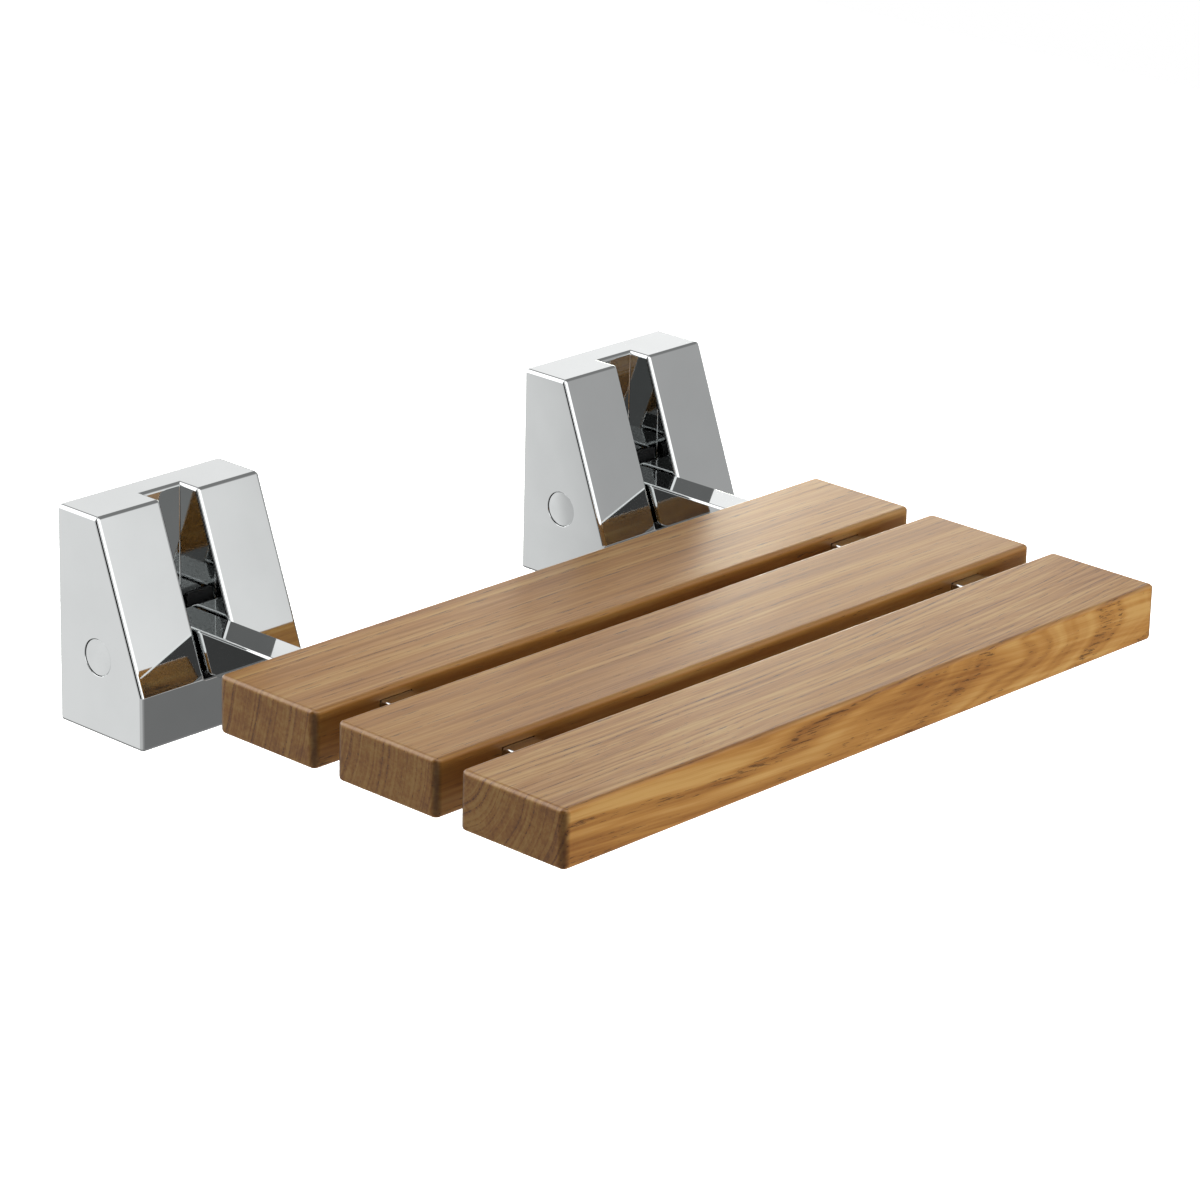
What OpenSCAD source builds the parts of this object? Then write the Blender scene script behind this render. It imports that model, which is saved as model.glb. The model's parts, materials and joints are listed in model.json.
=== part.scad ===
// Fold down wall seat: three wooden slats on two chromed arms that hinge in two wedge housings.
// All lengths are in millimetres. X runs along the slats, the wall is the plane Y = 0 and the seat
// reaches out towards -Y, +Z is up. The origin is on the wall, in the middle of the eight wall screws.

/* [Slats] */
// Length of each slat, which is also the width of the whole seat
slat_len = 508; // [460:1:620]
// Width of each slat from front to back
slat_w = 78.5; // [64:0.5:100]
// Thickness of each slat
slat_t = 35; // [32:0.5:38]
// Space between neighbouring slats
slat_gap = 17; // [8:0.5:25]
// Rounding along the long edges of a slat
slat_edge_r = 3; // [1:0.5:4]
// Rounding of the upright corners of a slat
slat_corner_r = 5; // [4:0.5:9]
// Height of the slat tops above the middle of the wall screws
seat_rise = 0.5; // [-4:0.5:4]
// Wood left in front of the arms inside the front slat
front_cheek = 14; // [8:0.5:18]

/* [Housings] */
// Width of one housing along the wall
housing_w = 125; // [115:1:140]
// Height of one housing
housing_h = 133; // [128:1:150]
// Depth of one housing from the wall to its front lip
base_d = 71; // [66:0.5:85]
// Depth of the flat top of one housing
top_d = 33; // [29:0.5:40]
// Rounding of the outside edges of a housing
housing_r = 2.5; // [1:0.5:3]
// Thickness of the cast shell of a housing
shell_t = 3; // [2.5:0.1:4]
// Thickness of the walls around the arm slot
pocket_t = 2.5; // [2:0.1:3.5]
// Free space from the front lip of a housing to the rear slat
rear_gap = 64.5; // [50:0.5:90]

/* [Arms] */
// Outside width and height of the square tube of an arm
arm_size = 25; // [23:0.5:26]
// Wall of the square tube
arm_wall = 2.5; // [1.5:0.1:3]
// Rounding of the long edges of an arm
arm_r = 2.5; // [1.5:0.1:3]
// Length of the solid hub welded into the rear end of the tube, counted from the pivot
hub_len = 34; // [24:1:50]

/* [Pivot] */
// Distance of the pivot from the wall
pivot_d = 32.5; // [30:0.5:36]
// Radius of the pivot pin
pin_r = 6; // [5:0.1:7]
// Radial running clearance between the pin and its bushes
pin_fit = 0.05; // [0.02:0.01:0.09]
// Wall of a flanged bush
bush_wall = 2; // [1.5:0.1:2.5]
// Length of a flanged bush inside the hub
bush_len = 11; // [8:0.5:11.2]
// Thickness of the flange of a bush
flange_t = 1.2; // [1:0.1:2]
// Running gap between a bush flange and the side wall of the slot
side_gap = 0.3; // [0.2:0.05:0.6]

/* [Stops] */
// Thickness of the pad that an arm rests on when the seat is down
down_pad_t = 2.2; // [1.5:0.1:4]
// Thickness of the pad that an arm leans on when the seat is up
up_pad_t = 1.7; // [1:0.1:3]
// Gap left between an arm and its pads at the ends of the swing
stop_gap = 0.3; // [0.2:0.05:0.5]

/* [Wall brackets] */
// Thickness of the bracket plate against the wall
plate_t = 5; // [4:0.5:6]
// Thickness of the ears that hold the pin
ear_t = 6; // [4:0.5:8]
// Thickness of the shelf under the slot floor
shelf_t = 6; // [4:0.5:7]
// Space from the outside of a housing to the edge of its bracket plate
bracket_inset = 10; // [9:0.5:12]
// Distance from the middle of a wall screw hole to the edges of its bracket plate
hole_edge = 12.5; // [11:0.5:14]
// Radius of a wall screw hole
hole_r = 3.5; // [2.5:0.1:4]

/* [Pin plugs] */
// Radius of the round plug over the end of a pin
plug_r = 11; // [9:0.5:12]
// Thickness of the head of a plug
plug_t = 3; // [1.5:0.1:4]
// How deep a plug sits below the side of its housing
plug_recess = 0.5; // [0.3:0.1:2]
// Gap around the head of a plug
plug_gap = 0.3; // [0.1:0.05:0.6]

/* [Slat fixing plates] */
// Length of a fixing plate along the slat
tab_w = 58; // [50:1:66]
// Width of a fixing plate along the arm
tab_l = 44; // [34:1:48]
// Thickness of a fixing plate
tab_t = 3; // [2:0.1:3.5]
// How deep a fixing plate sits inside the underside of a slat
tab_recess = 0.5; // [0.2:0.1:1]
// Distance of the wood screws from the middle of an arm
screw_x = 21; // [19:0.5:23]
// Distance between the two wood screws on one side of an arm
screw_pitch = 28; // [20:1:32]
// Radius of a wood screw
screw_r = 2; // [1.5:0.1:2.2]
// Length of a wood screw
screw_len = 20; // [14:1:26]

/* [Hidden] */
$fn = 64;

// How far every cut runs past the face that it opens
over = 1;
// Air left between two pieces that lie in one another without touching
air = 0.3;
// Radial play of a stem, screw or bush in the hole that holds it
snug = 0.04;
left = -1;
right = 1;

// Where the arms, slats and housings lie
housing_x = (slat_len - housing_w) / 2;
slat_bottom = seat_rise - slat_t;
tab_bottom = slat_bottom + tab_recess;
arm_bottom = tab_bottom + tab_t;
arm_top = arm_bottom + arm_size;
pivot_z = arm_bottom + arm_size / 2;
notch_air = 0.25;
panel_back = base_d + rear_gap;
slat_pitch = slat_w + slat_gap;
panel_front = panel_back + 2 * slat_pitch + slat_w;

// The slot in a housing follows the arm, its bushes and its pads
slot_w = arm_size + 2 * (flange_t + side_gap);
slot_floor = arm_bottom - down_pad_t - stop_gap;
slot_back = pivot_d - arm_size / 2 - up_pad_t - stop_gap;
slot_r = housing_r;
housing_top = housing_h / 2;
housing_bottom = -housing_h / 2;

// Side view of a housing as [distance from the wall, height], from the bottom at the wall round the front
wedge = [
    [0, housing_bottom], [base_d, housing_bottom], [base_d, slot_floor],
    [top_d, housing_top], [0, housing_top]
];
wedge_radii = [0, housing_r, housing_r / 2, housing_r, 0];

// Pin, plugs and the bosses in the cover that take them
pin_hole_r = pin_r + air;
plug_seat = plug_recess + plug_t;
boss_wall = 3;
boss_r = plug_r + boss_wall;
boss_d = 6;
pin_len = housing_w - 2 * (plug_seat + air);
plug_stem_r = pin_r / 2;
plug_stem_len = 8;

// Set screws under a housing, which lock its cover to the bracket
set_r = 2.5;
set_hex_r = 1.45;
set_hex_d = 3;
set_recess = 1;
set_x = 34;
set_d = 14;
set_boss_r = 6;
set_boss_h = 5;
flange_d = 24;

// Bracket plate, ears and shelf
bracket_w = housing_w - 2 * bracket_inset;
bracket_top = housing_top - bracket_inset;
bracket_bottom = housing_bottom + bracket_inset;
bracket_clear = 1;
hole_span_x = bracket_w - 2 * hole_edge;
hole_span_z = bracket_top - bracket_bottom - 2 * hole_edge;
ear_in = slot_w / 2 + pocket_t + air;
ear_out = ear_in + ear_t;
ear_r = 2 * pin_r + bush_wall;
shelf_z = slot_floor - pocket_t - air;
shelf_d = base_d - shell_t - bracket_clear;

// Pads in the slot
pad_w = 20;
pad_l = 15;
pad_front = 5;
pad_stem_r = 3;
up_pad_rise = pad_l / 2 + stop_gap;

// Bushes, end plugs and wood screws
bush_r = pin_r + pin_fit + bush_wall;
flange_lip = 2.5;
flange_r = bush_r + flange_lip;
end_flange_t = 2;
end_insert = 12;
arm_front = panel_front - front_cheek - end_flange_t - notch_air;
screw_head_r = 2 * screw_r;
screw_tip = screw_r;
cross_w = screw_r / 2;
cross_d = screw_r * 0.7;

// Places children at one of the two housings
module at_side(side) {
    translate([side * housing_x, 0, 0]) children();
}

// Turns a side view drawn as [distance from the wall, height] into a solid of width w across X
module across(w) {
    rotate([90, 0, -90]) translate([0, 0, -w / 2]) linear_extrude(w) children();
}

// A cylinder along X, centred on X = 0, at a distance d from the wall and a height z
module rod_across(r, w, d, z) {
    translate([-w / 2, -d, z]) rotate([0, 90, 0]) cylinder(r = r, h = w);
}

// The unit vector from a to b
function towards(a, b) = (b - a) / norm(b - a);

// Half of the inside angle at corner b
function half_angle(a, b, c) = acos(towards(b, a) * towards(b, c)) / 2;

// A convex outline with its corners rounded by true arcs
module rounded(points, radii) {
    last = len(points) - 1;
    polygon([for (i = [0:last], k = [0, 1])
        let (
            before = points[i == 0 ? last : i - 1],
            after = points[i == last ? 0 : i + 1],
            reach = radii[i] / tan(half_angle(before, points[i], after))
        )
        points[i] + reach * towards(points[i], k == 0 ? before : after)]);
    for (i = [0:last]) if (radii[i] > 0) {
        before = points[i == 0 ? last : i - 1];
        after = points[i == last ? 0 : i + 1];
        aim = towards(points[i], before) + towards(points[i], after);
        translate(points[i] + aim / norm(aim) * radii[i] / sin(half_angle(before, points[i], after)))
            circle(r = radii[i]);
    }
}

// A rectangle of size [w, h] centred on the origin, with rounded corners
module rounded_box(w, h, r) {
    rounded([[-w, -h] / 2, [w, -h] / 2, [w, h] / 2, [-w, h] / 2], [r, r, r, r]);
}

// What is cut away along an edge on the X axis, of a body with y > 0 and z < 0, to round it with radius r
module edge_cut(length, r) {
    difference() {
        translate([0, -over, -r]) cube([length, r + over, r + over]);
        translate([-over, r, -r]) rotate([0, 90, 0]) cylinder(r = r, h = length + 2 * over);
    }
}

// What is cut away round an upright corner at the origin, where two edges with radius r meet
module corner_cut(r) {
    rotate_extrude() difference() {
        translate([0, -r]) square([r, r + over]);
        translate([r, -r]) circle(r = r);
    }
}

// Cuts along the line from a to b of a side view, on both faces that are w apart. With inward set the
// faces belong to a slot and the body lies outside them. The ends run on by the two given lengths
module side_cuts(a, b, w, r, inward, start, end) {
    turn = atan2(b[1] - a[1], b[0] - a[0]);
    rotate([90, 0, -90]) translate(a) rotate(turn) for (m = [0, 1]) mirror([0, 0, m])
        translate([-start, 0, w / 2]) mirror([0, 0, inward ? 1 : 0])
            edge_cut(norm(b - a) + start + end, r);
}

// Outside of a housing with its edges rounded, before the slot is cut
module housing_block() {
    difference() {
        across(housing_w) rounded(wedge, wedge_radii);
        for (i = [0:3]) side_cuts(wedge[i], wedge[i + 1], housing_w, housing_r, false, over, over);
    }
}

// The slot that an arm swings in, with its rims rounded
module arm_slot() {
    tall = housing_top - slot_floor + over;
    deep = base_d - slot_back + over;
    translate([-slot_w / 2, -slot_back - deep, slot_floor]) cube([slot_w, deep, tall]);
    side_cuts(wedge[2], wedge[3], slot_w, slot_r, true, 0, over);
    side_cuts(wedge[3], [slot_back, housing_top], slot_w, slot_r, true, over, 0);
    translate([-slot_w / 2, -slot_back, housing_top]) edge_cut(slot_w, slot_r);
    for (s = [left, right]) translate([s * slot_w / 2, -slot_back, housing_top])
        corner_cut(slot_r);
}

// The hollow of a cover, less the walls of the slot
module cover_hollow() {
    difference() {
        across(housing_w - 2 * shell_t) offset(delta = -shell_t) polygon([
            [-shell_t - over, housing_bottom], wedge[1], wedge[2], wedge[3],
            [-shell_t - over, housing_top]
        ]);
        translate([-slot_w / 2 - pocket_t, -base_d, slot_floor - pocket_t]) cube([
            slot_w + 2 * pocket_t, base_d - slot_back + pocket_t, housing_top - slot_floor + pocket_t
        ]);
        for (s = [left, right]) {
            translate([s * (housing_w / 2 - shell_t - boss_d / 2), 0, 0])
                rod_across(boss_r, boss_d, pivot_d, pivot_z);
            translate([s * set_x, -set_d, housing_bottom + shell_t])
                cylinder(r = set_boss_r, h = set_boss_h);
        }
    }
}

// Cast and chromed cover of one housing
module housing_cover() {
    difference() {
        housing_block();
        cover_hollow();
        arm_slot();
        rod_across(pin_hole_r, housing_w, pivot_d, pivot_z);
        for (s = [left, right]) {
            translate([s * housing_w / 2, 0, 0])
                rod_across(plug_r + plug_gap, 2 * plug_seat, pivot_d, pivot_z);
            translate([s * set_x, -set_d, housing_bottom - over])
                cylinder(r = set_r + snug, h = shell_t + set_boss_h + 2 * over);
        }
        translate([0, -base_d + pad_front + pad_l / 2, slot_floor - pocket_t - over])
            cylinder(r = pad_stem_r + snug, h = pocket_t + 2 * over);
        translate([0, -slot_back + pocket_t + over, pivot_z + up_pad_rise])
            rotate([90, 0, 0]) cylinder(r = pad_stem_r + snug, h = pocket_t + 2 * over);
    }
}

// Steel bracket screwed to the wall, with the two ears that hold the pin and the shelf under the slot floor
module wall_bracket() {
    ear_view = [
        [0, bracket_bottom], [plate_t, bracket_bottom], [shelf_d, shelf_z - shelf_t],
        [shelf_d, shelf_z], [pivot_d + ear_r, pivot_z], [pivot_d, pivot_z + ear_r],
        [plate_t, bracket_top], [0, bracket_top]
    ];
    difference() {
        union() {
            translate([-bracket_w / 2, -plate_t, bracket_bottom])
                cube([bracket_w, plate_t, bracket_top - bracket_bottom]);
            translate([-bracket_w / 2, -flange_d, bracket_bottom])
                cube([bracket_w, flange_d, plate_t]);
            for (s = [left, right]) translate([s * (ear_in + ear_t / 2), 0, 0]) across(ear_t)
                intersection() {
                    union() {
                        polygon(ear_view);
                        translate([pivot_d, pivot_z]) circle(r = ear_r);
                    }
                    offset(delta = -shell_t - bracket_clear)
                        polygon([[-base_d, housing_bottom], wedge[1], wedge[2], wedge[3],
                            [-base_d, housing_top]]);
                }
            translate([-ear_out, -shelf_d, shelf_z - shelf_t]) cube([2 * ear_out, shelf_d, shelf_t]);
        }
        rod_across(pin_r + snug, bracket_w, pivot_d, pivot_z);
        for (x = [left, right], z = [-1, 1])
            translate([x * hole_span_x / 2, over, z * hole_span_z / 2])
                rotate([90, 0, 0]) cylinder(r = hole_r, h = plate_t + 2 * over);
        translate([-base_d, 0, bracket_bottom - over])
            cube([2 * base_d, over, housing_h]);
    }
}

// Pin that runs through the cover, both ears and the hub of the arm
module pivot_pin() {
    difference() {
        rod_across(pin_r, pin_len, pivot_d, pivot_z);
        for (s = [left, right]) translate([s * pin_len / 2, 0, 0])
            rod_across(plug_stem_r + snug, 2 * (plug_stem_len + over), pivot_d, pivot_z);
    }
}

// The two round plugs that close a housing over the ends of its pin
module pin_plugs() {
    for (s = [left, right]) {
        translate([s * (housing_w / 2 - plug_recess - plug_t / 2), 0, 0])
            rod_across(plug_r, plug_t, pivot_d, pivot_z);
        translate([s * (housing_w / 2 - plug_recess - plug_t - plug_stem_len / 2), 0, 0])
            rod_across(plug_stem_r, plug_stem_len, pivot_d, pivot_z);
    }
}

// The two set screws under a housing, their tips against the bracket
module cover_screws() {
    low = housing_bottom + set_recess;
    for (s = [left, right]) translate([s * set_x, -set_d, low]) difference() {
        cylinder(r = set_r, h = bracket_bottom - low);
        translate([0, 0, -over]) cylinder(r = set_hex_r, h = set_hex_d + over, $fn = 6);
    }
}

// Pad on the floor of the slot, under the arm
module down_stop_pad() {
    translate([-pad_w / 2, -base_d + pad_front, slot_floor]) cube([pad_w, pad_l, down_pad_t]);
    translate([0, -base_d + pad_front + pad_l / 2, slot_floor - pocket_t])
        cylinder(r = pad_stem_r, h = pocket_t + down_pad_t / 2);
}

// Pad on the back of the slot, behind the hub, which the arm leans on when it is up
module up_stop_pad() {
    translate([-pad_w / 2, -slot_back - up_pad_t, pivot_z + up_pad_rise - pad_l / 2])
        cube([pad_w, up_pad_t, pad_l]);
    translate([0, -slot_back + pocket_t, pivot_z + up_pad_rise])
        rotate([90, 0, 0]) cylinder(r = pad_stem_r, h = pocket_t + up_pad_t / 2);
}

// Square tube arm with its solid hub and the bore for the bushes
module arm() {
    length = arm_front - pivot_d;
    difference() {
        union() {
            translate([0, -pivot_d, pivot_z]) rotate([90, 0, 0]) linear_extrude(length)
                rounded_box(arm_size, arm_size, arm_r);
            translate([0, -pivot_d, pivot_z]) rotate([0, 90, 0]) rotate_extrude() intersection() {
                rounded_box(arm_size, arm_size, arm_r);
                translate([0, -arm_size / 2]) square([arm_size, arm_size]);
            }
        }
        translate([0, -pivot_d - hub_len, pivot_z]) rotate([90, 0, 0])
            linear_extrude(length - hub_len + over)
                rounded_box(arm_size - 2 * arm_wall, arm_size - 2 * arm_wall, arm_r / 2);
        rod_across(bush_r + snug, arm_size + 2 * over, pivot_d, pivot_z);
    }
}

// The two flanged bushes pressed into the hub of an arm
module pivot_bushes() {
    for (s = [left, right]) difference() {
        union() {
            translate([s * (arm_size / 2 - bush_len / 2), 0, 0])
                rod_across(bush_r, bush_len, pivot_d, pivot_z);
            translate([s * (arm_size + flange_t) / 2, 0, 0])
                rod_across(flange_r, flange_t, pivot_d, pivot_z);
        }
        rod_across(pin_r + pin_fit, slot_w, pivot_d, pivot_z);
    }
}

// Plastic plug in the front end of the tube
module arm_end_plug() {
    inside = arm_size - 2 * arm_wall - 2 * snug;
    translate([0, -arm_front, pivot_z]) rotate([90, 0, 0]) {
        linear_extrude(end_flange_t) rounded_box(arm_size, arm_size, arm_r);
        translate([0, 0, -end_insert]) linear_extrude(end_insert + end_flange_t / 2)
            rounded_box(inside, inside, arm_r / 2);
    }
}

// Places children under the middle of each slat
module at_slats() {
    for (i = [0:2]) translate([0, -panel_back - slat_w / 2 - i * slat_pitch, 0]) children();
}

// Places children at the four wood screws of one fixing plate
module at_tab_screws() {
    for (x = [left, right], y = [-1, 1]) translate([x * screw_x, y * screw_pitch / 2, 0]) children();
}

// A countersunk head and shank, larger all round by grow
module screw_form(grow, length) {
    cylinder(r1 = screw_head_r + grow, r2 = screw_r + grow, h = screw_head_r - screw_r);
    cylinder(r = screw_r + grow, h = length);
}

// The three fixing plates welded under one arm
module slat_plates() {
    at_slats() difference() {
        translate([-tab_w / 2, -tab_l / 2, tab_bottom]) cube([tab_w, tab_l, tab_t]);
        at_tab_screws() translate([0, 0, tab_bottom]) screw_form(snug, tab_t + over);
        at_tab_screws() translate([0, 0, tab_bottom - over])
            cylinder(r = screw_head_r + snug, h = over);
    }
}

// The wood screws that hold the slats on one arm
module slat_screws() {
    at_slats() at_tab_screws() translate([0, 0, tab_bottom]) difference() {
        union() {
            screw_form(0, screw_len - screw_tip);
            translate([0, 0, screw_len - screw_tip]) cylinder(r1 = screw_r, r2 = cross_w / 2, h = screw_tip);
        }
        for (turn = [0, 90]) rotate(turn)
            translate([-screw_r, -cross_w / 2, -over]) cube([2 * screw_r, cross_w, cross_d + over]);
    }
}

// One slat, its middle at y = 0, with the notches for the arms and their fixing plates
module slat(blind) {
    notch_w = arm_size + 2 * notch_air;
    notch_front = blind ? slat_w / 2 - front_cheek : slat_w / 2 + over;
    difference() {
        translate([0, 0, slat_bottom + slat_t / 2]) intersection() {
            rotate([90, 0, 90]) translate([0, 0, -slat_len / 2]) linear_extrude(slat_len)
                rounded_box(slat_w, slat_t, slat_edge_r);
            rotate([90, 0, 0]) translate([0, 0, -slat_w / 2]) linear_extrude(slat_w)
                rounded_box(slat_len, slat_t, slat_edge_r);
            translate([0, 0, -slat_t / 2]) linear_extrude(slat_t)
                rounded_box(slat_len, slat_w, slat_corner_r);
        }
        for (s = [left, right]) translate([s * housing_x, 0, 0]) {
            translate([-notch_w / 2, -notch_front, slat_bottom - over])
                cube([notch_w, notch_front + slat_w / 2 + over, arm_top + notch_air - slat_bottom + over]);
            translate([-tab_w / 2 - notch_air, -tab_l / 2 - notch_air, slat_bottom - over])
                cube([tab_w + 2 * notch_air, tab_l + 2 * notch_air, arm_bottom - slat_bottom + over]);
            at_tab_screws() translate([0, 0, tab_bottom])
                cylinder(r = screw_r + snug, h = screw_len + air);
        }
    }
}

module place_slat(row, blind) {
    color("burlywood") translate([0, -panel_back - slat_w / 2 - row * slat_pitch, 0]) slat(blind);
}

module left_wall_bracket() {
    color("slategray") at_side(left) wall_bracket();
}

module right_wall_bracket() {
    color("slategray") at_side(right) wall_bracket();
}

module left_housing_cover() {
    color("gainsboro") at_side(left) housing_cover();
}

module right_housing_cover() {
    color("gainsboro") at_side(right) housing_cover();
}

module left_cover_screws() {
    color("dimgray") at_side(left) cover_screws();
}

module right_cover_screws() {
    color("dimgray") at_side(right) cover_screws();
}

module left_pivot_pin() {
    color("silver") at_side(left) pivot_pin();
}

module right_pivot_pin() {
    color("silver") at_side(right) pivot_pin();
}

module left_pin_plugs() {
    color("lightgray") at_side(left) pin_plugs();
}

module right_pin_plugs() {
    color("lightgray") at_side(right) pin_plugs();
}

module left_down_stop_pad() {
    color("black") at_side(left) down_stop_pad();
}

module right_down_stop_pad() {
    color("black") at_side(right) down_stop_pad();
}

module left_up_stop_pad() {
    color("black") at_side(left) up_stop_pad();
}

module right_up_stop_pad() {
    color("black") at_side(right) up_stop_pad();
}

module left_arm() {
    color("whitesmoke") at_side(left) arm();
}

module right_arm() {
    color("whitesmoke") at_side(right) arm();
}

module left_pivot_bushes() {
    color("goldenrod") at_side(left) pivot_bushes();
}

module right_pivot_bushes() {
    color("goldenrod") at_side(right) pivot_bushes();
}

module left_arm_end_plug() {
    color("black") at_side(left) arm_end_plug();
}

module right_arm_end_plug() {
    color("black") at_side(right) arm_end_plug();
}

module left_slat_plates() {
    color("silver") at_side(left) slat_plates();
}

module right_slat_plates() {
    color("silver") at_side(right) slat_plates();
}

module left_slat_screws() {
    color("gray") at_side(left) slat_screws();
}

module right_slat_screws() {
    color("gray") at_side(right) slat_screws();
}

module rear_slat() {
    place_slat(0, false);
}

module middle_slat() {
    place_slat(1, false);
}

module front_slat() {
    place_slat(2, true);
}

left_wall_bracket();
right_wall_bracket();
left_housing_cover();
right_housing_cover();
left_cover_screws();
right_cover_screws();
left_pivot_pin();
right_pivot_pin();
left_pin_plugs();
right_pin_plugs();
left_down_stop_pad();
right_down_stop_pad();
left_up_stop_pad();
right_up_stop_pad();
left_arm();
right_arm();
left_pivot_bushes();
right_pivot_bushes();
left_arm_end_plug();
right_arm_end_plug();
left_slat_plates();
right_slat_plates();
left_slat_screws();
right_slat_screws();
rear_slat();
middle_slat();
front_slat();
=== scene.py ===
import json
import math
import bmesh
import bpy
from mathutils import Matrix, Vector

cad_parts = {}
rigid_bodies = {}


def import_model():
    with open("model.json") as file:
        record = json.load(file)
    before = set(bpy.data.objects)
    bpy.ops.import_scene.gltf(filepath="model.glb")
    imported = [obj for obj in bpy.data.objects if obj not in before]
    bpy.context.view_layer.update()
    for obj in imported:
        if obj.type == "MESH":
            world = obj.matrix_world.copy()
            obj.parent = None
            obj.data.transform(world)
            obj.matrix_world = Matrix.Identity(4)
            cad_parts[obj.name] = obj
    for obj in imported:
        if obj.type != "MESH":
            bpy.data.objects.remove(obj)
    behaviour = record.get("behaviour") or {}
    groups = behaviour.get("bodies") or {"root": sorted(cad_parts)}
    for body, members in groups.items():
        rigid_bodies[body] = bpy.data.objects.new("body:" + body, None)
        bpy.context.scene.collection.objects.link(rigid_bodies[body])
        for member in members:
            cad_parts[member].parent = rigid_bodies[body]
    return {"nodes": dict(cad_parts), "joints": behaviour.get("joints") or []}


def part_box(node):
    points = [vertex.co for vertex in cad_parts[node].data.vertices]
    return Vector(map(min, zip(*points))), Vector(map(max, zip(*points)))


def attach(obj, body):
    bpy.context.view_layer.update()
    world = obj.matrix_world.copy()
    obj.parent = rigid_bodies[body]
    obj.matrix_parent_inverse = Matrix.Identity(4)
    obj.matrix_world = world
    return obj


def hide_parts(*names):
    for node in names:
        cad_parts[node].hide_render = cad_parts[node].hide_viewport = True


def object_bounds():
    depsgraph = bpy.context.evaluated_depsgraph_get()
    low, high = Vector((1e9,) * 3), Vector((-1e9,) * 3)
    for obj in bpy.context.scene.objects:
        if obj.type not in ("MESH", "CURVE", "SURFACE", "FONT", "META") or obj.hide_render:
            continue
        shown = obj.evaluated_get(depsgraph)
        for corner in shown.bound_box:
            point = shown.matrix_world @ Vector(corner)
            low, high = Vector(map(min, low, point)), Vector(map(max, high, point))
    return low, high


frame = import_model()
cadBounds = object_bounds()

mm = 0.001
over = 1 * mm       # how far a cutting block runs past the face that it opens
hair = 0.01 * mm    # two places closer than this count as one
sharpTurn = 1       # radians; an edge that turns more than this is a corner of its shape
smoothTurn = 28     # degrees; the faces on both sides of a flatter edge are shaded as one
edgeSteps = 6       # facets across a rounded edge
rimSteps = 3        # and across a fine one
roundSides = {"large": 96, "middle": 64, "small": 32, "tiny": 16}
sides = {"left": -1, "right": 1}
nodes = frame["nodes"]
hinge = frame["joints"][0]
pivot = Vector(hinge["pos_m"])
wallBody = hinge["parent"]
seatBody = hinge["child"]


# Modelling helpers

def makeActive(obj):
    bpy.ops.object.select_all(action="DESELECT")
    obj.select_set(True)
    bpy.context.view_layer.objects.active = obj


def settle(name):
    obj = bpy.context.object
    obj.name = name
    bpy.ops.object.transform_apply(location=True, rotation=True, scale=True)
    return obj


def addBlock(name, low, high):
    low, high = Vector(low), Vector(high)
    bpy.ops.object.select_all(action="DESELECT")
    bpy.ops.mesh.primitive_cube_add(size=1, location=(low + high) / 2)
    bpy.context.object.scale = high - low
    return settle(name)


def addRod(name, axis, centre, radius, length, size="middle"):
    turns = {"X": (0, math.pi / 2, 0), "Y": (math.pi / 2, 0, 0), "Z": (0, 0, 0)}
    bpy.ops.object.select_all(action="DESELECT")
    bpy.ops.mesh.primitive_cylinder_add(vertices=roundSides[size], radius=radius, depth=length,
                                        location=centre, rotation=turns[axis])
    return settle(name)


def pick(obj, kind, test):
    bpy.ops.mesh.select_mode(type=kind)
    bpy.ops.mesh.select_all(action="DESELECT")
    mesh = bmesh.from_edit_mesh(obj.data)
    for part in {"VERT": mesh.verts, "FACE": mesh.faces}[kind]:
        if test(part):
            part.select_set(True)
    mesh.select_flush_mode()
    bmesh.update_edit_mesh(obj.data)


def applyModifier(obj, kind, **settings):
    makeActive(obj)
    bpy.ops.object.modifier_add(type=kind)
    modifier = obj.modifiers[-1]
    for key, value in settings.items():
        setattr(modifier, key, value)
    bpy.ops.object.modifier_apply(modifier=modifier.name)


def cut(obj, tool):
    applyModifier(obj, "BOOLEAN", operation="DIFFERENCE", solver="EXACT", object=tool)
    bpy.data.objects.remove(tool, do_unlink=True)


def cleanUp(obj):
    makeActive(obj)
    bpy.ops.object.mode_set(mode="EDIT")
    bpy.ops.mesh.select_all(action="SELECT")
    bpy.ops.mesh.remove_doubles(threshold=hair / 2)
    bpy.ops.mesh.dissolve_degenerate(threshold=hair / 2)
    bpy.ops.mesh.normals_make_consistent(inside=False)
    bpy.ops.object.mode_set(mode="OBJECT")


def roundEdges(obj, radiusOf, segments):
    # radiusOf gives the radius for an edge, and a flat angle needs less width for the same radius
    mesh = bmesh.new()
    mesh.from_mesh(obj.data)
    layer = mesh.edges.layers.float.get("bevel_weight_edge")
    layer = layer or mesh.edges.layers.float.new("bevel_weight_edge")
    widths = [radiusOf(edge) * math.tan(edge.calc_face_angle(0) / 2) for edge in mesh.edges]
    widest = max(widths)
    for edge, width in zip(mesh.edges, widths):
        edge[layer] = width / widest
    mesh.to_mesh(obj.data)
    mesh.free()
    applyModifier(obj, "BEVEL", limit_method="WEIGHT", width=widest, segments=segments,
                  use_clamp_overlap=False)


def copyAlong(obj, name, shift):
    makeActive(obj)
    bpy.ops.object.duplicate(linked=False)
    bpy.context.object.location = shift
    return settle(name)


def finishPiece(obj, body, slot, material, *replaced):
    makeActive(obj)
    obj.data.materials.clear()
    obj.data.materials.append(material)
    bpy.ops.object.shade_smooth_by_angle(angle=math.radians(smoothTurn))
    applyModifier(obj, "WEIGHTED_NORMAL", weight=100, keep_sharp=True)
    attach(obj, body)
    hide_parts(*replaced)


# Material helpers

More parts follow.
